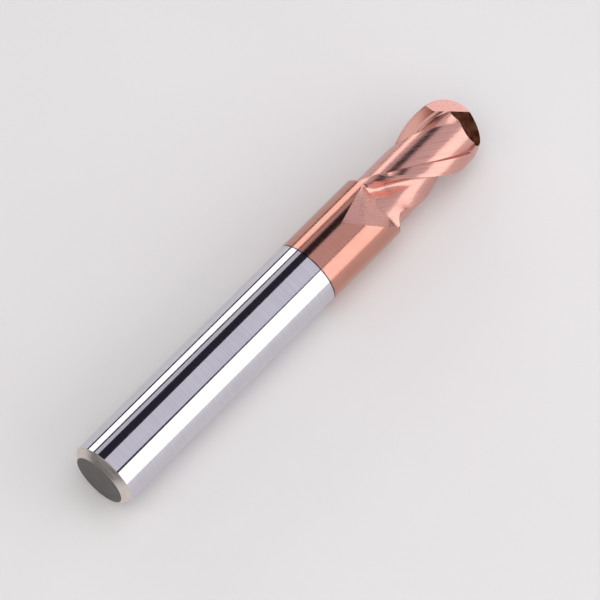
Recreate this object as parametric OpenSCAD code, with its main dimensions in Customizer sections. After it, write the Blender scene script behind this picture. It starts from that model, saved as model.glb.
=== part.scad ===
// Ball-nose end mill: solid carbide, two helical flutes, right-hand cut.
// The tool lies along +X with its tip at the far end. The origin is on the tool
// axis at the shank's back face, and +Z is up.

/* [Overall] */
// Overall length, back face to tip
overall_l = 75; // [60:1:100]
// Shank diameter, the size the collet grips
shank_d = 10; // [9:0.1:12]
// Cutting diameter, and twice the ball radius
cut_d = 10; // [8:0.1:12]
// Length of cut, from the tip to the full-depth flutes
flute_l = 20; // [16:0.5:24]
// Length of the flutes' run-out behind the length of cut
runout_l = 6.6; // [5:0.1:8]
// Coated length, from the tip
coat_l = 33.4; // [31:0.1:40]

/* [Shank] */
// Chamfer on the back end, at 45 degrees
chamfer = 1; // [0.3:0.1:1.5]

/* [Flutes] */
// Helix angle at the cutting diameter
helix_angle = 38.8; // [30:0.1:45]
// Core diameter under the flutes
web_d = 5.5; // [4:0.1:6.5]
// Floor left between the core and the deepest line of a flute
floor_t = 0.12; // [0.05:0.01:0.3]
// Depth of the back of a tooth below the cutting diameter
back_depth = 0.85; // [0.6:0.05:1]
// Radial rake angle of the cutting edges
rake_angle = 6; // [0:0.5:10]
// Angle that the tool is turned about its own axis
clock_angle = 27.7; // [0:0.1:90]

/* [Lands] */
// Angular width of a land where the full flutes begin
land_start = 14; // [10:0.5:18]
// Widening of a land, in degrees for each millimetre towards the tip
land_growth = 1.5; // [0:0.1:1.6]
// Angular width of the primary relief
primary_width = 7; // [4:0.5:9]
// Drop of the primary relief below the cutting diameter
primary_drop = 0.06; // [0.03:0.01:0.12]
// Drop of the secondary relief at the heel
heel_drop = 0.38; // [0.2:0.01:0.5]
// Distance that the reliefs run back short of the full flutes
relief_start = 2.6; // [1:0.1:4]

/* [Ball end] */
// Thickness of the web where the two cutting edges meet at the tip
chisel = 0.16; // [0.1:0.01:0.4]
// Slope of the gash's rake wall, in millimetres for each millimetre of length
gash_slope = 0.06; // [0:0.01:0.1]

/* [Hidden] */

cut_r = cut_d / 2;
web_r = web_d / 2;
coat_x = overall_l - coat_l;
flute_x = overall_l - flute_l;
runout_x = flute_x - runout_l;
ball_x = overall_l - cut_r;
relief_x = flute_x + relief_start;
full_x = flute_x + 2.4;
lead = PI * cut_d / tan(helix_angle);
turn = 360 / lead;

root_r = web_r + floor_t;
root_angle = 22;
bed_angle = 86;
root_share = root_angle / bed_angle;
heel_wall = 2.5;
edge_margin = 0.5;
land_max = 40;
land_steps = 12;
back_steps = 14;
floor_steps = 6;
core_steps = 14;
wheel_lag = 12.3;
exit_angle = 21.7;
level_x = flute_x - 1.1;
level_l = 3.4;
corner_l = 0.6;
back_x = flute_x + 0.1;
back_run = 1.7;
ball_back = 0.07;
ball_gap = 0.08;
ball_steps = 9;
skin = 0.01;
cut_block = 3 * cut_d;

// Planes ground on the ball end, as outward normals in a tooth's own frame:
// X along the tool, Y out along its cutting edge, Z into the flute in front
gash_face = [gash_slope, -0.03, 1];
gash_wall = [0.666, 0.736, 0.125];
gash_heel = [0.707, 0.428, 0.564];
clearance = [0.700, 0.228, -0.674];

function lerp(a, b, t) = a + (b - a) * t;
function clamp01(t) = min(1, max(0, t));
function ease(a, b, x) = let (t = clamp01((x - a) / (b - a))) t * t * (3 - 2 * t);
function bezier(a, b, c, t) = (1 - t) * (1 - t) * a + 2 * t * (1 - t) * b + t * t * c;
function polar(r, angle) = r * [cos(angle), sin(angle)];
function as_polar(p) = [atan2(p[1], p[0]), norm(p)];

// Radius of the ground blank: a cylinder that ends in a ball
function blank_r(x) = x <= ball_x ? cut_r : sqrt(max(0, cut_r * cut_r - pow(x - ball_x, 2)));

// Angle of the first tooth's cutting edge
function edge_angle(x) = (max(x, flute_x) - ball_x) * turn;

function land_width(x) = min(land_max, land_start + land_growth * max(0, x - flute_x));

// Each outline runs from the root line in front of a tooth over its cutting edge, land
// and back to the root line behind it, as [angle ahead of the edge, radius] points.
// In the run-out the wheel leaves a flat bed between its exit edge and its heel edge.
// It deepens ever faster, then levels off into the full flute
function bed_x(x) = max(x, runout_x + corner_l);
function bed_low(x) = exit_angle * max(0, flute_x - bed_x(x)) / runout_l;
function bed_high(x) = exit_angle + wheel_lag * (bed_x(x) - runout_x) - (wheel_lag + 2) * max(0, x - flute_x);
function runout_depth(x) =
    let (growth = (wheel_lag + exit_angle / runout_l) / 2, opening = growth * (min(x, level_x) - runout_x),
         past = min(max(0, x - level_x), level_l))
    cut_r * (1 - cos(opening) + growth * PI / 180 * sin(opening) * past * (1 - past / (2 * level_l)));

function flat_point(x, share) =
    let (low = bed_low(x), high = bed_high(x), half = (high - low) / 2, angle = lerp(low, high, share),
         depth = (1 - cos(half) / cos(angle - (low + high) / 2)) / (1 - cos(half)))
    [angle, cut_r - depth * runout_depth(x)];

// The bed at x, from a point of the full bed and its share of the way from edge to heel
function bed_point(x, full, share, reach_back) =
    let (shallow = min(1, runout_depth(x) / (cut_r - root_r)), flat = flat_point(x, share),
         t = ease(flute_x - 1, full_x, x), bent = ease(flute_x - 1 - reach_back, full_x - reach_back / 2, x))
    [lerp(flat[0], full[0], t), lerp(flat[1], cut_r - (cut_r - full[1]) * shallow, bent)];

function front_points(x) =
    let (depth = 0.28 * cut_r, foot = [cut_r - depth, -depth * tan(rake_angle)],
         root = polar(root_r, root_angle), bend = [root[0], foot[1] - 0.1],
         full = concat([for (i = [0 : 6]) bezier(root, bend, foot, i / 6)],
             [for (i = [1 : 2]) lerp(foot, [cut_r, 0], i / 2)]))
    [for (i = [0 : 8])
        bed_point(x, as_polar(full[i]), root_share * (1 - i / 8), 0)];

// A point of the bed behind a tooth: s is 0 on the round blank and 1 on the root line
function rear_point(x, s) =
    let (root = polar(root_r, root_angle), bend = [root[0], 0.556 * cut_r],
         full = as_polar(bezier(polar(cut_r, bed_angle), bend, root, s)), share = full[0] / bed_angle,
         point = bed_point(x, full, share, 4.5 * (share - root_share) / (1 - root_share)))
    [point[0] - 180, point[1]];

// The land keeps the ball's edge where the gash faces cut it, behind the helix
function edge_lag(x) = max(0, x - ball_x) * turn;

function land_points(x) =
    let (edge = bed_low(x) * (1 - ease(flute_x - 1, full_x, x)), cut = ease(relief_x, relief_x + 1, x),
         steps = land_steps - 2)
    concat([[edge, blank_r(x)], [edge - max(edge_lag(x), edge_margin), blank_r(x)]],
        [for (i = [0 : steps])
            let (t = i / steps, past = lerp(primary_width, land_width(x), t),
                 drop = lerp(primary_drop, heel_drop, t))
            [edge - edge_lag(x) - past, (1 - drop * cut / cut_r) * blank_r(x)]]);

// The back of each tooth is ground down in a step behind the heel of its land
function back_r_at(x, past_heel) =
    let (run = clamp01((x - back_x) / back_run), wall = clamp01(past_heel / heel_wall),
         depth = back_depth * (1 - (1 - run) * (1 - run)) * wall)
    min(cut_r - depth, blank_r(x) * (1 - ball_back * wall * run));

function crease_at(x, heel, low = 0, high = 1, left = 14) =
    let (s = (low + high) / 2, p = rear_point(x, s), inside = p[1] <= back_r_at(x, heel - p[0]) + skin / 1000)
    left == 0 ? s : crease_at(x, heel, inside ? low : s, inside ? s : high, left - 1);

function outline_at(x) =
    let (land = land_points(x), heel = land[land_steps][0], s = crease_at(x, heel),
         crease = rear_point(x, s), from = heel - heel_wall,
         back = [for (i = [0 : back_steps]) lerp(from, crease[0], i / back_steps)])
    [for (p = concat(front_points(x), [for (i = [1 : land_steps]) land[i]],
            [for (angle = back) [angle, back_r_at(x, heel - angle)]],
            [for (i = [1 : floor_steps]) rear_point(x, lerp(s, 1, i / floor_steps))]))
        [p[0], max(min(p[1], blank_r(x)), web_r + skin)]];

function ring(x) =
    let (outer = outline_at(x), n = len(outer), a = edge_angle(x) + clock_angle,
         first = outer[0][0], last = outer[n - 1][0])
    concat([for (p = outer) [x, p[1] * cos(a + p[0]), p[1] * sin(a + p[0])]],
        [for (i = [0 : core_steps])
            let (b = a + lerp(last, first, i / core_steps)) [x, web_r * cos(b), web_r * sin(b)]]);

ball_end_x = ball_x + sqrt(cut_r * cut_r - pow(web_r + ball_gap, 2));
stations = concat(
    [for (i = [0 : 16]) lerp(runout_x, flute_x, i / 16)],
    [for (i = [1 : 8]) lerp(flute_x, full_x, i / 8)],
    [for (i = [1 : 24]) lerp(full_x, ball_x, i / 24)],
    [for (i = [1 : ball_steps]) lerp(ball_x, ball_end_x, sin(90 * i / ball_steps))]);

// One tooth as a skin over its rings, closed by a flat cap at each end
module tooth_blank() {
    rings = [for (x = stations) ring(x)];
    n = len(rings[0]);
    last = len(rings) - 1;
    points = [for (r = rings) each r];
    sides = [for (k = [0 : last - 1], i = [0 : n - 1])
        let (j = (i + 1) % n, a = k * n + i, b = k * n + j, c = a + n, d = b + n)
        each [[a, b, c], [b, d, c]]];
    caps = [[for (i = [n - 1 : -1 : 0]) i], [for (i = [0 : n - 1]) last * n + i]];
    polyhedron(points, concat(sides, caps), convexity = 10);
}

// The half-space beyond a plane through the tip
module beyond(normal, offset = 0) {
    axis = cross([0, 0, 1], normal);
    translate([overall_l, 0, 0])
        rotate(a = acos(normal[2] / norm(normal)), v = norm(axis) > 0 ? axis : [1, 0, 0])
            translate([-cut_block / 2, -cut_block / 2, offset])
                cube(cut_block);
}

module gash() {
    intersection() {
        beyond(gash_face, chisel / 2);
        union() {
            beyond(gash_wall);
            beyond(gash_heel);
        }
    }
}

// What is ground off the ball end, once for each tooth
module ball_grinds() {
    for (turned = [0, 180])
        rotate([turned + clock_angle, 0, 0]) {
            gash();
            beyond(clearance, chisel / 2);
        }
}

// A resize() of zero leaves the ground tooth as it is and makes it one body
module tooth() {
    resize([0, 0, 0])
        difference() {
            tooth_blank();
            ball_grinds();
        }
}

module shank() {
    color([0.74, 0.73, 0.78])
        rotate([0, 90, 0]) {
            cylinder(h = chamfer, d1 = shank_d - 2 * chamfer, d2 = shank_d, $fn = 96);
            translate([0, 0, chamfer])
                cylinder(h = coat_x - chamfer, d = shank_d, $fn = 96);
        }
}

module coated_neck() {
    color([0.80, 0.48, 0.40])
        translate([coat_x, 0, 0])
            rotate([0, 90, 0])
                cylinder(h = runout_x - coat_x, d1 = shank_d, d2 = cut_d, $fn = 96);
}

module web() {
    color([0.72, 0.44, 0.37])
        difference() {
            intersection() {
                translate([runout_x, 0, 0])
                    rotate([0, 90, 0])
                        cylinder(h = overall_l - runout_x, d = web_d, $fn = 96);
                union() {
                    translate([ball_x, 0, 0])
                        sphere(d = cut_d, $fn = 96);
                    translate([runout_x, 0, 0])
                        rotate([0, 90, 0])
                            cylinder(h = ball_x - runout_x, d = cut_d, $fn = 96);
                }
            }
            ball_grinds();
        }
}

module tooth_1() {
    color([0.85, 0.53, 0.42])
        tooth();
}

module tooth_2() {
    color([0.85, 0.53, 0.42])
        rotate([180, 0, 0])
            tooth();
}

shank();
coated_neck();
web();
tooth_1();
tooth_2();
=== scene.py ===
# %% [markdown]
# # A ball-nose end mill
#
# This is a solid-carbide cutter for a milling machine. A ground round shank goes
# into the collet, a copper-coloured coating covers the front half, and two
# helical flutes run out to a ball-shaped end.
#
# The CAD model settles every size. Here each of its five parts gets a finer mesh
# and its finish, in the same place and inside the same box. The dark colour of
# the gash walls and clearance flats is painted shade.

# %% Load the frame
import math

import bmesh
import bpy
import numpy as np
from mathutils import Matrix, Vector


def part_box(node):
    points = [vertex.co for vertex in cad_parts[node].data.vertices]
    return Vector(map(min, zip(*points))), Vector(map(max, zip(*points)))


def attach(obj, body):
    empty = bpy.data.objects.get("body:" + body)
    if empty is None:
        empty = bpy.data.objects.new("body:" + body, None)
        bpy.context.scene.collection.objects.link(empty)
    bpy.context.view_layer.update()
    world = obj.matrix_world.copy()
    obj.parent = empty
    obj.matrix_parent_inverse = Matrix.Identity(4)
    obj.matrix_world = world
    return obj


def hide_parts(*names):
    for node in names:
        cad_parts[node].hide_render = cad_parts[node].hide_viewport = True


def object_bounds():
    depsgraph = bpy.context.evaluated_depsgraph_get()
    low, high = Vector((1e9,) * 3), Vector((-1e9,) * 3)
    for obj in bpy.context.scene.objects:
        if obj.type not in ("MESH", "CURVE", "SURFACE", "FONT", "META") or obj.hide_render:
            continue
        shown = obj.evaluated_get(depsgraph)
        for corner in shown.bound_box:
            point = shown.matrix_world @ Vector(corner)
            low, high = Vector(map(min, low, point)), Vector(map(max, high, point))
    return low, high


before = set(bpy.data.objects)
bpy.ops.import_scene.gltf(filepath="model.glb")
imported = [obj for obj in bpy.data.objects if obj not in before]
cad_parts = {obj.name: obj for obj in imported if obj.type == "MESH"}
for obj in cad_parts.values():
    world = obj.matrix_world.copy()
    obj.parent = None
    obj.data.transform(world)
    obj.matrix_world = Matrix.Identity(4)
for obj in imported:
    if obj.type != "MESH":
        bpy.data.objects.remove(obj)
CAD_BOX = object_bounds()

print("CAD parts:", sorted(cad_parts))

# %% [markdown]
# ## Sizes
#
# The tool lies along +X, with the middle of its back face at the origin. Every
# length below is in millimetres, because a cutter is measured in millimetres,
# and MM turns them into Blender's metres. The main sizes come from the boxes of
# the CAD parts, so the meshes follow the CAD if it is changed.

# %% Sizes from the CAD parts
MM = 0.001


def reach(part, side, axis):
    """How far a CAD part reaches along an axis, in millimetres: side 0 is its low end, 1 its high end."""
    return round(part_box(part)[side][axis] / MM, 2)


TIP_X = round(CAD_BOX[1][0] / MM, 2)
SHANK_R = reach("shank", 1, 2)
COAT_X = reach("shank", 1, 0)
RUNOUT_X = reach("web", 0, 0)
CUT_R = reach("coated_neck", 1, 2)
WEB_R = reach("web", 1, 2)
RUNOUT_L = 6.6
FLUTE_X = RUNOUT_X + RUNOUT_L
BALL_X = TIP_X - CUT_R
print("tool", TIP_X, "mm long, coated from", COAT_X, "flutes from", RUNOUT_X, "ball from", BALL_X)

# %% [markdown]
# ## Nodes in few words
#
# A finish is a small graph of shader nodes. Two short helpers keep the recipes
# readable: `node` adds a node and wires or sets its inputs, and `maths` does one
# sum. `marks` is the texture used the most: noise stretched so far in one
# direction that it turns into the lines that a grinding wheel leaves.

# %% Helpers for finishes
def node(tree, kind, inputs=None, **settings):
    """A new node. An input given a socket is linked, and any other value is set."""
    made = tree.nodes.new(kind)
    for key, value in settings.items():
        setattr(made, key, value)
    for socket, value in (inputs or {}).items():
        if isinstance(value, bpy.types.NodeSocket):
            tree.links.new(value, made.inputs[socket])
        else:
            made.inputs[socket].default_value = value
    return made


def maths(tree, operation, a, b):
    """One sum of two values, such as ADD or MULTIPLY."""
    return node(tree, "ShaderNodeMath", {0: a, 1: b}, operation=operation).outputs[0]


def ramp(tree, value, low, high, to_low=0.0, to_high=1.0):
    """value moved from the range low..high to to_low..to_high, and held at its ends."""
    limits = {"Value": value, "From Min": low, "From Max": high, "To Min": to_low, "To Max": to_high}
    return node(tree, "ShaderNodeMapRange", limits).outputs[0]


def blend(tree, share, a, b):
    """Colour a where share is 0, colour b where it is 1."""
    mixed = node(tree, "ShaderNodeMix", {0: share, 6: a, 7: b}, data_type="RGBA")
    return mixed.outputs[2]


def marks(tree, place, stretch, detail=3.0, seed=0.0):
    """Noise along three axes, with stretch marks for each millimetre of each."""
    scaled = node(tree, "ShaderNodeVectorMath", {0: place, 1: stretch}, operation="MULTIPLY")
    moved = node(tree, "ShaderNodeVectorMath", {0: scaled.outputs[0], 1: (seed, 2 * seed, 3 * seed)},
                 operation="ADD")
    noise = node(tree, "ShaderNodeTexNoise", {"Vector": moved.outputs[0], "Scale": 1.0, "Detail": detail})
    return noise.outputs[0]


def colour(red, green, blue, bright=1.0):
    return (red * bright, green * bright, blue * bright, 1.0)


def start_finish(name):
    """A new material: its tree, its Principled shader and the place on the tool in millimetres."""
    made = bpy.data.materials.new(name)
    made.use_nodes = True
    tree = made.node_tree
    shader = tree.nodes["Principled BSDF"]
    at = node(tree, "ShaderNodeTexCoord").outputs["Object"]
    place = node(tree, "ShaderNodeVectorMath", {0: at, 1: (1 / MM, 1 / MM, 1 / MM)}, operation="MULTIPLY")
    return made, tree, shader, place.outputs[0]


def finish_with(tree, shader, base, roughness, height, depth):
    """Links the base colour, the roughness and a bump of that depth in millimetres."""
    bump = node(tree, "ShaderNodeBump", {"Height": height, "Strength": 1.0, "Distance": depth * MM})
    tree.links.new(base, shader.inputs["Base Color"])
    tree.links.new(roughness, shader.inputs["Roughness"])
    tree.links.new(bump.outputs[0], shader.inputs["Normal"])


# %% [markdown]
# ## Ground carbide
#
# The shank is cemented carbide, centreless ground to a few micrometres. The
# wheel leaves very fine rings round the shank, so its reflections stay crisp
# across the tool and run a little along it. A noise with many marks along X and
# nearly none round the tool gives these rings, as bump and as slight changes of
# roughness. Broad, faint clouds stand for handling marks.

# %% Ground carbide finish
def ground_carbide():
    made, tree, shader, place = start_finish("ground_carbide_finish")
    rings = marks(tree, place, (9.0, 0.12, 0.12), detail=4.0)
    clouds = marks(tree, place, (0.16, 0.5, 0.5), detail=2.0, seed=3.0)
    scuffs = marks(tree, place, (1.2, 5.0, 5.0), detail=6.0, seed=8.0)
    dark, light = colour(0.60, 0.585, 0.645), colour(0.68, 0.665, 0.72)
    base = blend(tree, ramp(tree, rings, 0.3, 0.7), dark, light)
    base = blend(tree, ramp(tree, clouds, 0.35, 0.75, 0.0, 0.35), base, colour(0.53, 0.52, 0.58))
    ring_rough = ramp(tree, rings, 0.3, 0.7, 0.05, 0.10)
    scuff_rough = ramp(tree, scuffs, 0.6, 0.8, 0.0, 0.08)
    rough = maths(tree, "ADD", ring_rough, scuff_rough)
    shader.inputs["Metallic"].default_value = 1.0
    finish_with(tree, shader, base, rough, rings, 0.0006)
    return made


def ground_chamfer():
    made, tree, shader, place = start_finish("ground_chamfer_finish")
    rings = marks(tree, place, (14.0, 0.4, 0.4), detail=4.0, seed=5.0)
    base = blend(tree, ramp(tree, rings, 0.3, 0.7), colour(0.66, 0.60, 0.55), colour(0.80, 0.75, 0.70))
    shader.inputs["Metallic"].default_value = 1.0
    finish_with(tree, shader, base, ramp(tree, rings, 0.3, 0.7, 0.26, 0.42), rings, 0.002)
    return made


def cut_end():
    made, tree, shader, place = start_finish("cut_end_finish")
    grain = marks(tree, place, (6.0, 6.0, 6.0), detail=8.0, seed=2.0)
    strokes = marks(tree, place, (1.0, 0.6, 7.0), detail=3.0, seed=6.0)
    both = maths(tree, "ADD", maths(tree, "MULTIPLY", grain, 0.5), maths(tree, "MULTIPLY", strokes, 0.5))
    base = blend(tree, ramp(tree, both, 0.35, 0.65), colour(0.10, 0.092, 0.09), colour(0.20, 0.19, 0.185))
    shader.inputs["Metallic"].default_value = 0.7
    finish_with(tree, shader, base, ramp(tree, grain, 0.3, 0.7, 0.45, 0.62), both, 0.006)
    return made


CARBIDE, CHAMFER, CUT_END = ground_carbide(), ground_chamfer(), cut_end()
print("made", CARBIDE.name, CHAMFER.name, CUT_END.name)

# %% [markdown]
# ## The copper-coloured coating
#
# The coating is a hard nitride film about three micrometres thick. It takes the
# shape of what is under it: fine rings on the neck, and lines that follow the
# helix inside the flutes. Its edge on the shank isn't cut, it fades through a
# thin dark line where the film is thinnest. In the flutes the marks have to
# wind with the tool, so the place on the tool is turned back by the helix
# before the noise is read: what is a helix on the tool is then a straight line.

# %% Coating finishes
HELIX_ANGLE = 38.8
TURN = 360 * math.tan(math.radians(HELIX_ANGLE)) / (2 * math.pi * CUT_R)
COPPER, COPPER_LIGHT = (0.54, 0.255, 0.20), (0.62, 0.325, 0.265)


def unwound(tree, place):
    """The place on the tool, turned back by the helix."""
    along = node(tree, "ShaderNodeSeparateXYZ", {0: place}).outputs[0]
    angle = maths(tree, "MULTIPLY", along, -math.radians(TURN))
    turned = node(tree, "ShaderNodeVectorRotate", {"Vector": place, "Axis": (1, 0, 0), "Angle": angle},
                  rotation_type="AXIS_ANGLE")
    return turned.outputs[0]


def coated_round():
    made, tree, shader, place = start_finish("coated_round_finish")
    along = node(tree, "ShaderNodeSeparateXYZ", {0: place}).outputs[0]
    rings = marks(tree, place, (8.0, 0.12, 0.12), detail=4.0, seed=1.0)
    clouds = marks(tree, place, (0.35, 0.5, 0.5), detail=3.0, seed=4.0)
    fringe = marks(tree, place, (2.0, 1.4, 1.4), detail=3.0, seed=9.0)
    base = blend(tree, ramp(tree, rings, 0.3, 0.7), colour(*COPPER, 0.96), colour(*COPPER, 1.06))
    base = blend(tree, ramp(tree, clouds, 0.4, 0.8, 0.0, 0.4), base, colour(*COPPER_LIGHT))
    past_line, wander = maths(tree, "SUBTRACT", along, COAT_X), ramp(tree, fringe, 0.3, 0.7, -0.04, 0.04)
    from_edge = maths(tree, "ADD", past_line, wander)
    base = blend(tree, ramp(tree, from_edge, 0.12, 0.26, 1.0, 0.0), base, colour(0.10, 0.045, 0.06))
    shader.inputs["Metallic"].default_value = 1.0
    finish_with(tree, shader, base, ramp(tree, rings, 0.3, 0.7, 0.13, 0.19), rings, 0.0008)
    return made


def coated_flute(name, low, high, rough_low, rough_high, depth):
    made, tree, shader, place = start_finish(name)
    straight = unwound(tree, place)
    lines = marks(tree, straight, (0.10, 5.0, 5.0), detail=4.0, seed=2.0)
    fine = marks(tree, straight, (0.25, 16.0, 16.0), detail=2.0, seed=7.0)
    both = maths(tree, "ADD", maths(tree, "MULTIPLY", lines, 0.65), maths(tree, "MULTIPLY", fine, 0.35))
    clouds = marks(tree, place, (0.4, 0.6, 0.6), detail=3.0, seed=4.0)
    base = blend(tree, ramp(tree, both, 0.35, 0.65), colour(*low), colour(*high))
    base = blend(tree, ramp(tree, clouds, 0.4, 0.8, 0.0, 0.3), base, colour(*COPPER_LIGHT, 1.1))
    shader.inputs["Metallic"].default_value = 1.0
    finish_with(tree, shader, base, ramp(tree, both, 0.35, 0.65, rough_low, rough_high), both, depth)
    return made


COATED_ROUND = coated_round()
COATED_FLUTE = coated_flute("coated_flute_finish",
                            (0.57, 0.30, 0.26), (0.70, 0.39, 0.345), 0.20, 0.30, 0.0022)
COATED_FACE = coated_flute("coated_face_finish",
                           (0.58, 0.31, 0.27), (0.68, 0.38, 0.34), 0.20, 0.28, 0.0008)
# The gash walls, gash heels and clearance flats carry the same copper coating as the flutes; their much
# darker copy of it is painted shade, and so is the dark specular tint set below.
SHADED_GASH_COAT = coated_flute("gash_painted_shade_finish",
                           (0.055, 0.031, 0.027), (0.085, 0.050, 0.043), 0.22, 0.34, 0.0015)
GASH_SHADE_SHADER = SHADED_GASH_COAT.node_tree.nodes["Principled BSDF"]
GASH_SHADE_SHADER.inputs["Specular Tint"].default_value = colour(0.45, 0.36, 0.33)
print("made", COATED_ROUND.name, COATED_FLUTE.name, COATED_FACE.name, SHADED_GASH_COAT.name)

# %% [markdown]
# ## Turned pieces
#
# The shank and the coated neck are bodies of revolution. A lathe mesh is the
# natural way: a profile of (x, radius) points is swept round the axis. Small
# rounds of a few hundredths of a millimetre at the chamfer's corners catch the
# light, as they do on the ground tool.

# %% Lathe helper
ROUND_STEPS = 256


def turned_piece(name, profile, finishes, finish_at):
    """A closed lathe mesh. finish_at(x, radius) gives the finish number of a band from its middle."""
    rings = [(x, r) for x, r in profile if r > 0]
    angles = np.linspace(0, 2 * math.pi, ROUND_STEPS, endpoint=False)
    points = [(x * MM, r * MM * math.cos(a), r * MM * math.sin(a)) for x, r in rings for a in angles]
    faces, kinds = [], []
    for i in range(len(rings) - 1):
        middle = ((rings[i][0] + rings[i + 1][0]) / 2, (rings[i][1] + rings[i + 1][1]) / 2)
        for j in range(ROUND_STEPS):
            k = (j + 1) % ROUND_STEPS
            faces.append([i * ROUND_STEPS + j, (i + 1) * ROUND_STEPS + j, (i + 1) * ROUND_STEPS + k,
                          i * ROUND_STEPS + k])
            kinds.append(finish_at(*middle))
    last = (len(rings) - 1) * ROUND_STEPS
    faces += [list(range(ROUND_STEPS)), [last + j for j in reversed(range(ROUND_STEPS))]]
    kinds += [finish_at(rings[0][0], 0), finish_at(rings[-1][0], 0)]
    mesh = bpy.data.meshes.new(name)
    mesh.from_pydata(points, [], faces)
    for finish in finishes:
        mesh.materials.append(finish)
    mesh.polygons.foreach_set("material_index", kinds)
    made = bpy.data.objects.new(name, mesh)
    bpy.context.scene.collection.objects.link(made)
    return smooth(made)


def smooth(piece, sharp=8.0):
    """Smooth shading, but for edges that turn more than so many degrees."""
    fix = bmesh.new()
    fix.from_mesh(piece.data)
    bmesh.ops.recalc_face_normals(fix, faces=fix.faces[:])
    fix.to_mesh(piece.data)
    fix.free()
    piece.data.shade_smooth()
    piece.data.set_sharp_from_angle(angle=math.radians(sharp))
    print(piece.name, len(piece.data.polygons), "faces")
    return piece


def rounded_corner(before, corner, after, radius, steps=4):
    """Points that round a corner of a profile off."""
    before, corner, after = np.array(before, float), np.array(corner, float), np.array(after, float)
    start = corner + (before - corner) / np.linalg.norm(before - corner) * radius
    end = corner + (after - corner) / np.linalg.norm(after - corner) * radius
    share = np.linspace(0, 1, steps + 1)[:, None]
    bent = (1 - share) ** 2 * start + 2 * share * (1 - share) * corner + share ** 2 * end
    return [tuple(point) for point in bent]


# %% Shank
CHAMFER_SIZE = 1.0
EDGE_ROUND = 0.06
face_corner, side_corner = (0.0, SHANK_R - CHAMFER_SIZE), (CHAMFER_SIZE, SHANK_R)
shank_profile = (rounded_corner((0.0, 0.0), face_corner, side_corner, EDGE_ROUND)
                 + rounded_corner(face_corner, side_corner, (COAT_X, SHANK_R), EDGE_ROUND)
                 + [(COAT_X, SHANK_R)])


def shank_finish(x, radius):
    if x < EDGE_ROUND / 2 and radius < SHANK_R - CHAMFER_SIZE:
        return 2
    return 1 if x < CHAMFER_SIZE else 0


shank = turned_piece("ground_shank", shank_profile, [CARBIDE, CHAMFER, CUT_END], shank_finish)

# %% Coated neck
neck_profile = [(COAT_X, SHANK_R), (RUNOUT_X, CUT_R)]
neck = turned_piece("coated_neck_finish", neck_profile, [COATED_ROUND], lambda x, radius: 0)

# %% [markdown]
# ## The outline of a tooth
#
# The two teeth are what is left when two flutes are ground out of the round
# neck. Cut the tool across, and each tooth has the same outline: the flute's
# bed rises to the cutting edge with a little positive rake, a narrow land backs
# the edge up, a small step drops to the ground-down back, and the back meets
# the bed of the next flute at a crease.
#
# A mesh made of such outlines, one for each station along the tool, keeps every
# ground edge sharp, because a line of mesh points runs along each of them. A
# flute swept along a curve and cut out with a boolean would leave ragged edges
# at this helix angle. Behind the full flutes, the wheel runs out: there the bed
# is flat and gets narrower, and the outline goes over from one form to the
# other.

# %% Outline of a tooth
FULL_X = FLUTE_X + 2.4
FLOOR_T = 0.12
ROOT_R, ROOT_ANGLE = WEB_R + FLOOR_T, 22.0
FOOT_DEPTH, FOOT_PULL, REAR_PULL = 0.28, 0.1, 0.556
WALL_FROM = 0.7
BED_ANGLE = 86.0
BACK_DEPTH, BALL_BACK = 0.85, 0.07
BACK_R = CUT_R - BACK_DEPTH
BACK_X, BACK_RUN = FLUTE_X + 0.1, 1.7
EXIT_ANGLE, WHEEL_LAG, HIGH_FALL = 21.7, 12.3, 2.0
BLEND_X, REACH_BACK = FLUTE_X - 1.0, 4.5
LAND_START, LAND_GROWTH, LAND_MAX = 14.0, 1.5, 40.0
LEVEL_X, LEVEL_L, CORNER_L = FLUTE_X - 1.1, 3.4, 0.2
RAKE = math.tan(math.radians(6.0))
PRIMARY_WIDTH, PRIMARY_DROP, HEEL_DROP, HEEL_WALL = 7.0, 0.06, 0.38, 2.5
RELIEF_X = FLUTE_X + 2.6
CLOCK = 27.7
SKIN, BALL_GAP = 0.01, 0.03


def ease(a, b, x):
    t = np.clip((x - a) / (b - a), 0, 1)
    return t * t * (3 - 2 * t)


def bezier(a, b, c, t):
    t = np.asarray(t)[:, None]
    return (1 - t) ** 2 * np.array(a) + 2 * t * (1 - t) * np.array(b) + t ** 2 * np.array(c)


def polar(radius, angle):
    return [radius * math.cos(math.radians(angle)), radius * math.sin(math.radians(angle))]


def angle_and_radius(points):
    return np.degrees(np.arctan2(points[:, 1], points[:, 0])), np.hypot(points[:, 0], points[:, 1])


def blank_radius(x):
    """The round blank: the cutting radius, then the ball."""
    return CUT_R if x <= BALL_X else math.sqrt(max(0.0, CUT_R ** 2 - (x - BALL_X) ** 2))


def edge_angle(x):
    """How far the cutting edge has turned at x, in degrees."""
    return (max(x, FLUTE_X) - BALL_X) * TURN


def runout_depth(x):
    """Depth of the bed in the run-out: it grows ever faster, then levels off into the full flute."""
    growth = math.radians(WHEEL_LAG + EXIT_ANGLE / RUNOUT_L) / 2
    opening = growth * (min(x, LEVEL_X) - RUNOUT_X)
    past = min(max(0.0, x - LEVEL_X), LEVEL_L)
    return CUT_R * (1 - math.cos(opening) + growth * math.sin(opening) * past * (1 - past / (2 * LEVEL_L)))


def flat_bed(x, share):
    """The run-out's flat bed: share is 0 at its exit edge and 1 at its heel edge."""
    open_x = max(x, RUNOUT_X + CORNER_L)
    low = EXIT_ANGLE * max(0.0, FLUTE_X - open_x) / RUNOUT_L
    high = EXIT_ANGLE + WHEEL_LAG * (open_x - RUNOUT_X) - (WHEEL_LAG + HIGH_FALL) * max(0.0, x - FLUTE_X)
    half = math.radians(high - low) / 2
    angle = low + (high - low) * share
    across = np.cos(np.radians(angle - (low + high) / 2))
    depth = (1 - math.cos(half) / across) / (1 - math.cos(half))
    return angle, CUT_R - depth * runout_depth(x)


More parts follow.
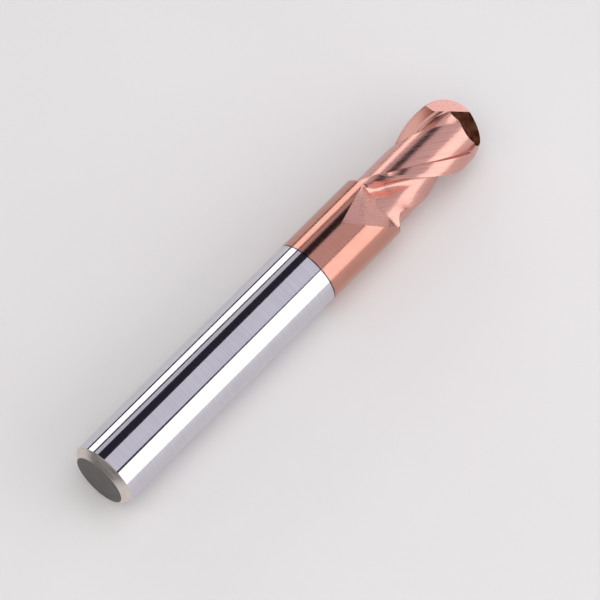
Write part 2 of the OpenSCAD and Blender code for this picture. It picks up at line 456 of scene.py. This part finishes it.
FRONT_CURVE, FRONT_WALL = np.linspace(0, 1, 34) ** 1.2, np.linspace(0, 1, 14)[1:]
FRONT_SHARE = np.concatenate([WALL_FROM * FRONT_CURVE, WALL_FROM + (1 - WALL_FROM) * FRONT_WALL])
REAR = np.linspace(0, 1, 400)
ROOT_SHARE = ROOT_ANGLE / BED_ANGLE


def bed(x, full, share, reach_back):
    """The bed at x: the flat bed behind, the full bed in front. reach_back moves the change back, in mm."""
    flat_angle, flat_r = flat_bed(x, share)
    full_angle, full_r = angle_and_radius(full)
    shallow = min(1.0, runout_depth(x) / (CUT_R - ROOT_R))
    full_r = CUT_R - (CUT_R - full_r) * shallow
    t = ease(BLEND_X, FULL_X, x)
    bent = ease(BLEND_X - reach_back, FULL_X - 0.5 * reach_back, x)
    return flat_angle + (full_angle - flat_angle) * t, flat_r + (full_r - flat_r) * bent


def front_bed(x):
    """The bed from its root line up to the cutting edge."""
    depth = FOOT_DEPTH * CUT_R
    foot, root = [CUT_R - depth, -depth * RAKE], polar(ROOT_R, ROOT_ANGLE)
    curve = bezier(root, [root[0], foot[1] - FOOT_PULL], foot, FRONT_CURVE)
    wall = np.array(foot) + FRONT_WALL[:, None] * (np.array([CUT_R, 0.0]) - foot)
    return bed(x, np.concatenate([curve, wall]), ROOT_SHARE * (1 - FRONT_SHARE), 0.0)


def rear_bed(x):
    """The bed from where it leaves the round blank down to its root line."""
    root = polar(ROOT_R, ROOT_ANGLE)
    curve = bezier(polar(CUT_R, BED_ANGLE), [root[0], REAR_PULL * CUT_R], root, REAR)
    share = angle_and_radius(curve)[0] / BED_ANGLE
    return bed(x, curve, share, REACH_BACK * (share - ROOT_SHARE) / (1 - ROOT_SHARE))


def back_radius(x, past_heel):
    """The ground-down back of a tooth, past_heel degrees behind its land."""
    run = np.clip((x - BACK_X) / BACK_RUN, 0, 1)
    wall = np.clip(past_heel / HEEL_WALL, 0, 1)
    depth = (CUT_R - BACK_R) * (1 - (1 - run) ** 2) * wall
    return np.minimum(CUT_R - depth, blank_radius(x) * (1 - BALL_BACK * wall * run))


def land_width(x):
    """The whole land behind the edge, in degrees."""
    return min(LAND_MAX, LAND_START + LAND_GROWTH * max(0.0, x - FLUTE_X))


def tooth_outline(x):
    """One tooth's outline at x, as angles ahead of its cutting edge and radii."""
    front_angle, front_r = front_bed(x)
    edge = front_angle[-1]
    lag = max(0.0, x - BALL_X) * TURN
    width = land_width(x)
    past = np.concatenate([np.linspace(0, lag, 5)[1:-1], lag + np.linspace(0, PRIMARY_WIDTH, 8),
                           lag + np.linspace(PRIMARY_WIDTH, width, 26)[1:]])
    worn = np.clip(past - lag, 0, None)
    drop = np.interp(worn, [0, PRIMARY_WIDTH, width], [0, PRIMARY_DROP, HEEL_DROP])
    land_r = (1 - drop * ease(RELIEF_X, RELIEF_X + 1, x) / CUT_R) * blank_radius(x)
    heel = edge - past[-1]
    rear_angle, rear_r = rear_bed(x)
    rear_angle = rear_angle - 180
    limit = back_radius(x, heel - rear_angle)
    cut = int(np.argmax(rear_r <= limit + 1e-9))
    if cut > 0:
        over, under = rear_r[cut - 1] - limit[cut - 1], limit[cut] - rear_r[cut]
        start = cut - 1 + over / max(1e-9, over + under)
    else:
        start = 0.0
    spread = np.concatenate([np.linspace(0, 1, 54), [0.995]])
    at = start + np.sort(spread) * (len(REAR) - 1 - start)
    floor_angle = np.interp(at, np.arange(len(REAR)), rear_angle)
    floor_r = np.interp(at, np.arange(len(REAR)), rear_r)
    wall_angle = heel - np.linspace(0, HEEL_WALL, 5)[1:]
    back_angle = np.linspace(wall_angle[-1], floor_angle[0], 46)[1:-1]
    mid_angle = np.concatenate([wall_angle, back_angle])
    mid_r = back_radius(x, heel - mid_angle)
    mid_r = np.minimum(mid_r, np.interp(heel - mid_angle, [0, HEEL_WALL], [land_r[-1], CUT_R]))
    angle = np.concatenate([front_angle, edge - past, mid_angle, floor_angle])
    radius = np.concatenate([front_r, land_r, mid_r, floor_r])
    return angle, np.maximum(np.minimum(radius, blank_radius(x)), WEB_R + SKIN)


sample = tooth_outline(FLUTE_X + 8)
inmost, outmost = round(sample[1].min(), 2), round(sample[1].max(), 2)
print("outline of", len(sample[0]), "points, radii", inmost, "to", outmost)

# %% [markdown]
# ## The teeth and the core
#
# The outlines are joined into one closed skin for each tooth. The ball end is
# then ground with flat wheel faces, as on the real tool: a gash opens the flute
# up to the tip in front of each edge, and a clearance flat takes the corner
# behind the other edge away. Flat faces are best cut with booleans, because a
# plane through a closed mesh leaves a clean, straight edge. A boolean also leaves
# slivers, faces with almost no area, so these are taken out afterwards.

# %% Flat-ground cuts at the ball end
CHISEL = 0.16
GASH_FACE = Vector((0.06, -0.03, 1.0))
GASH_WALL = Vector((0.666, 0.736, 0.125))
GASH_HEEL = Vector((0.707, 0.428, 0.564))
CLEARANCE = Vector((0.700, 0.228, -0.674))
TIP = Vector((TIP_X * MM, 0.0, 0.0))
BLOCK = 3 * CUT_R * MM
SLIVER = 0.0005
ROUND_TO_X = FLUTE_X + 0.3
SAME_WAY, NEAR_PLANE, ON_ROUND = 1e-5, 1.2 * CHISEL * MM, 0.01


def ground_block(name, planes, turned):
    """A block of air in front of the tip that lies beyond every one of the planes."""
    bm = bmesh.new()
    bmesh.ops.create_cube(bm, size=2 * BLOCK)
    for normal, offset in planes:
        cut = bmesh.ops.bisect_plane(bm, geom=bm.verts[:] + bm.edges[:] + bm.faces[:], dist=1e-9,
                                     plane_co=normal.normalized() * offset * MM, plane_no=normal,
                                     clear_inner=True)
        rim = [item for item in cut["geom_cut"] if isinstance(item, bmesh.types.BMEdge)]
        bmesh.ops.contextual_create(bm, geom=rim)
    bmesh.ops.recalc_face_normals(bm, faces=bm.faces[:])
    mesh = bpy.data.meshes.new(name)
    bm.to_mesh(mesh)
    bm.free()
    mesh.transform(Matrix.Translation(TIP) @ Matrix.Rotation(math.radians(turned + CLOCK), 4, "X"))
    made = bpy.data.objects.new(name, mesh)
    bpy.context.scene.collection.objects.link(made)
    return made


def ball_grinds():
    """The blocks that both gashes and both clearance flats take away."""
    made = []
    for turned in (0, 180):
        made.append(ground_block("gash_wall", [(GASH_FACE, CHISEL / 2), (GASH_WALL, 0.0)], turned))
        made.append(ground_block("gash_heel", [(GASH_FACE, CHISEL / 2), (GASH_HEEL, 0.0)], turned))
        made.append(ground_block("clearance", [(CLEARANCE, CHISEL / 2)], turned))
    return made


def grind(piece, blocks):
    """Takes each block away from the piece."""
    for block in blocks:
        cut = piece.modifiers.new(block.name, "BOOLEAN")
        cut.operation, cut.solver, cut.object = "DIFFERENCE", "MANIFOLD", block
    ready = piece.evaluated_get(bpy.context.evaluated_depsgraph_get())
    mesh = bpy.data.meshes.new_from_object(ready)
    piece.modifiers.clear()
    piece.data = mesh
    return piece


def close_slivers(piece):
    """Splits the large flat faces into triangles and takes out those that are thinner than SLIVER."""
    clean = bmesh.new()
    clean.from_mesh(piece.data)
    bmesh.ops.remove_doubles(clean, verts=clean.verts[:], dist=SLIVER * MM)
    bmesh.ops.triangulate(clean, faces=[face for face in clean.faces if len(face.verts) > 4])
    for _ in range(3):
        bmesh.ops.dissolve_degenerate(clean, edges=clean.edges[:], dist=SLIVER * MM)
    bmesh.ops.triangulate(clean, faces=[face for face in clean.faces if len(face.verts) > 4])
    loose = [edge for edge in clean.edges if not edge.link_faces]
    bmesh.ops.delete(clean, geom=loose, context="EDGES")
    open_edges = sum(not edge.is_manifold for edge in clean.edges)
    print(piece.name, "has", len(clean.faces), "faces and", open_edges, "open edges")
    clean.to_mesh(piece.data)
    clean.free()


def mark_ground_faces(piece):
    """Gives each flat-ground face and the round parts of the old blank their own finish; the gash walls,
    gash heels and clearance flats get a darkened copy of the coating as painted shade.
    """
    faces = []
    for turned in (0, 180):
        turn_back = Matrix.Rotation(math.radians(turned + CLOCK), 3, "X")
        faces += [(turn_back @ GASH_FACE.normalized(), 1)]
        faces += [(turn_back @ n.normalized(), 2) for n in (GASH_WALL, GASH_HEEL, CLEARANCE)]
    count = [0, 0, 0, 0]
    for face in piece.data.polygons:
        offset = face.center - TIP
        kind = 0
        for n, finish in faces:
            if abs(abs(face.normal.dot(n)) - 1) < SAME_WAY and abs(offset.dot(n)) < NEAR_PLANE:
                kind = finish
        radius = math.hypot(face.center.y, face.center.z) / MM
        if kind == 0 and radius > CUT_R - ON_ROUND and face.center.x / MM < ROUND_TO_X:
            kind = 3
        face.material_index = kind
        count[kind] += 1
    print(piece.name, "faces in the flutes, on gash faces, in gash walls, on the round:", count)


# %% Teeth
BALL_END_X = BALL_X + math.sqrt(CUT_R ** 2 - (WEB_R + BALL_GAP) ** 2)
DENSE_X = FLUTE_X - 0.2
BALL_TURN = np.linspace(0, math.asin((BALL_END_X - BALL_X) / CUT_R), 90)
STATIONS = np.concatenate([np.linspace(RUNOUT_X, DENSE_X, 90), np.linspace(DENSE_X, FULL_X, 40)[1:],
                           np.linspace(FULL_X, BALL_X, 140)[1:], BALL_X + CUT_R * np.sin(BALL_TURN)[1:]])
CORE_STEPS = 60
HEAD_FINISHES = [COATED_FLUTE, COATED_FACE, SHADED_GASH_COAT, COATED_ROUND]


def tooth(name, turned):
    rows = []
    for x in STATIONS:
        angle, radius = tooth_outline(x)
        core = np.linspace(angle[-1], angle[0], CORE_STEPS)
        angle = np.radians(np.concatenate([angle, core]) + edge_angle(x) + turned + CLOCK)
        radius = np.concatenate([radius, np.full(CORE_STEPS, WEB_R)])
        along, y, z = np.full(len(angle), x), radius * np.cos(angle), radius * np.sin(angle)
        rows.append(np.stack([along, y, z], axis=1))
    rows = np.array(rows) * MM
    stations, around = rows.shape[:2]
    faces = [[i * around + j, i * around + (j + 1) % around,
              (i + 1) * around + (j + 1) % around, (i + 1) * around + j]
             for i in range(stations - 1) for j in range(around)]
    last = (stations - 1) * around
    faces += [list(range(around - 1, -1, -1)), [last + j for j in range(around)]]
    mesh = bpy.data.meshes.new(name)
    mesh.from_pydata(rows.reshape(-1, 3), [], faces)
    for finish in HEAD_FINISHES:
        mesh.materials.append(finish)
    made = bpy.data.objects.new(name, mesh)
    bpy.context.scene.collection.objects.link(made)
    check = bmesh.new()
    check.from_mesh(mesh)
    bmesh.ops.recalc_face_normals(check, faces=check.faces[:])
    print(name, "closed volume", round(check.calc_volume(signed=True) / MM ** 3, 1), "mm3")
    check.to_mesh(mesh)
    check.free()
    return made


grinds = ball_grinds()
teeth = [grind(tooth("tooth_a", 0), grinds), grind(tooth("tooth_b", 180), grinds)]

# %% Core
core_profile = [(RUNOUT_X, WEB_R), (BALL_END_X, WEB_R)]
ball_angles = np.linspace(math.asin(WEB_R / CUT_R), 0.01, 40)
core_profile += [(BALL_X + CUT_R * math.cos(a), CUT_R * math.sin(a)) for a in ball_angles]
core = turned_piece("flute_core", core_profile, HEAD_FINISHES, lambda x, radius: 0)
core = grind(core, grinds)

for piece in teeth + [core]:
    mark_ground_faces(piece)
    close_slivers(piece)
    smooth(piece)
for block in grinds:
    bpy.data.objects.remove(block)

# %% [markdown]
# ## Hand the pieces to the frame
#
# Each piece takes the place of one CAD part, which is hidden, and rides on the tool's only body.

# %% Bodies and hidden CAD parts
hand_over = [
    (shank, "shank", "ground_carbide"),
    (neck, "coated_neck", "coated_cylinder"),
    (core, "web", "coated_flute"),
    (teeth[0], "tooth_1", "coated_tooth"),
    (teeth[1], "tooth_2", "coated_tooth"),
]
for piece, part, slot in hand_over:
    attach(piece, "root")
    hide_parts(part)
print("pieces:", [piece.name for piece, part, slot in hand_over])

# %% [markdown]
# ## Floor
#
# A plain pale floor under the tool. It is large, so that its edge never shows,
# and has only a trace of unevenness.

# %% Floor
def pale_floor():
    made, tree, shader, place = start_finish("pale_floor_finish")
    clouds = marks(tree, place, (0.02, 0.02, 0.02), detail=3.0)
    base = blend(tree, clouds, colour(0.78, 0.77, 0.765), colour(0.84, 0.835, 0.83))
    finish_with(tree, shader, base, ramp(tree, clouds, 0.0, 1.0, 0.6, 0.7), clouds, 0.02)
    return made


FLOOR_SIZE = 3.0
floor_mesh = bpy.data.meshes.new("floor")
half = FLOOR_SIZE / 2
floor_z = CAD_BOX[0][2]
floor_mesh.from_pydata([(x * half, y * half, floor_z) for x, y in ((-1, -1), (1, -1), (1, 1), (-1, 1))], [],
                       [[0, 1, 2, 3]])
floor_mesh.materials.append(pale_floor())
floor = bpy.data.objects.new("floor", floor_mesh)
bpy.context.scene.collection.objects.link(floor)

# %% [markdown]
# ## Camera
#
# The camera looks down on the tool from behind its shank end, with a long lens,
# so that the tool's sides stay nearly parallel.

# %% Camera
AZIMUTH, ELEVATION = math.radians(48.193), math.radians(63.054)
DISTANCE = 1.0
to_camera = Vector((-math.cos(ELEVATION) * math.sin(AZIMUTH), -math.cos(ELEVATION) * math.cos(AZIMUTH),
                    math.sin(ELEVATION)))
right = Vector((math.cos(AZIMUTH), -math.sin(AZIMUTH), 0.0))
up = to_camera.cross(right)
aim = Vector((TIP_X / 2 * MM, 0.0, 0.0)) + (right * 1.829 - up * 0.845) * MM
camera_data = bpy.data.cameras.new("camera")
camera_data.sensor_width = 36.0
camera_data.lens = 443.67
camera_data.clip_end = 20.0
camera = bpy.data.objects.new("camera", camera_data)
camera.location = aim + to_camera * DISTANCE
camera.rotation_euler = (-to_camera).to_track_quat("-Z", "Y").to_euler()
bpy.context.scene.collection.objects.link(camera)
bpy.context.scene.camera = camera

# %% [markdown]
# ## Light
#
# A polished cylinder shows its lights as bands along its length, so each light
# here is a long panel beside the tool, and its place decides where its band
# lies. An angle of 0 is the side that faces the camera. The gaps between the
# panels show the dim room as dark bands. One more soft light from above
# brightens only the floor.

# %% Panels of light
FACING = Vector((0.0, -0.321, 0.947))
ACROSS = Vector((0.0, 0.947, 0.321))
ALONG = Vector((1.0, 0.0, 0.0))
PANEL_DISTANCE = 0.45
SHANK_LEAN = 19.7


def panel(name, around, along, brightness, tint=(1.0, 1.0, 1.0)):
    """A soft panel between two angles around the tool's axis and two angles of lean along it, in degrees."""
    turn, lean = math.radians(sum(around) / 2), math.radians(sum(along) / 2)
    side = FACING * math.cos(turn) - ACROSS * math.sin(turn)
    out = side * math.cos(lean) + ALONG * math.sin(lean)
    across = side.cross(ALONG).normalized()
    far = PANEL_DISTANCE / math.cos(lean)
    light = bpy.data.lights.new(name, "AREA")
    light.shape = "RECTANGLE"
    light.size = 2 * far * math.tan(math.radians(along[1] - along[0]) / 2)
    light.size_y = 2 * PANEL_DISTANCE * math.tan(math.radians(around[1] - around[0]) / 2)
    light.color = tint
    light.energy = brightness * 4.0 * light.size * light.size_y
    made = bpy.data.objects.new(name, light)
    made.location = Vector((TIP_X / 2 * MM, 0.0, 0.0)) + out * far
    made.rotation_euler = Matrix((out.cross(across) * -1, across, out)).transposed().to_euler()
    bpy.context.scene.collection.objects.link(made)
    print(name, "is", round(light.size, 2), "m by", round(light.size_y, 2), "m")
    return made


LONG = (SHANK_LEAN - 32, SHANK_LEAN + 32)
panel("key_panel", (24, 77), LONG, 1.5, (1.0, 0.985, 0.97))
panel("top_panel", (-34, 20), LONG, 0.62, (0.98, 0.95, 1.0))
panel("back_dim_panel", (-74, -60), LONG, 0.52, (0.98, 0.96, 1.0))
panel("back_panel", (-102, -79), LONG, 1.5, (1.0, 0.99, 0.98))
panel("tip_panel", (-42, 42), (53, 80), 0.72, (1.0, 0.96, 0.97))
panel("shank_panel", (-75, 50), (-62, -24), 0.85, (1.0, 0.97, 0.95))
room = bpy.data.worlds.new("room")
room.use_nodes = True
room.node_tree.nodes["Background"].inputs[0].default_value = (0.028, 0.024, 0.036, 1.0)
bpy.context.scene.world = room

floor_light_data = bpy.data.lights.new("floor_light", "AREA")
floor_light_data.size = 1.5
floor_light_data.energy = 6.0
floor_light = bpy.data.objects.new("floor_light", floor_light_data)
floor_light.location = (0.1, 0.1, 1.4)
floor_light.visible_glossy = False
bpy.context.scene.collection.objects.link(floor_light)
bpy.context.scene.view_settings.view_transform = "Standard"
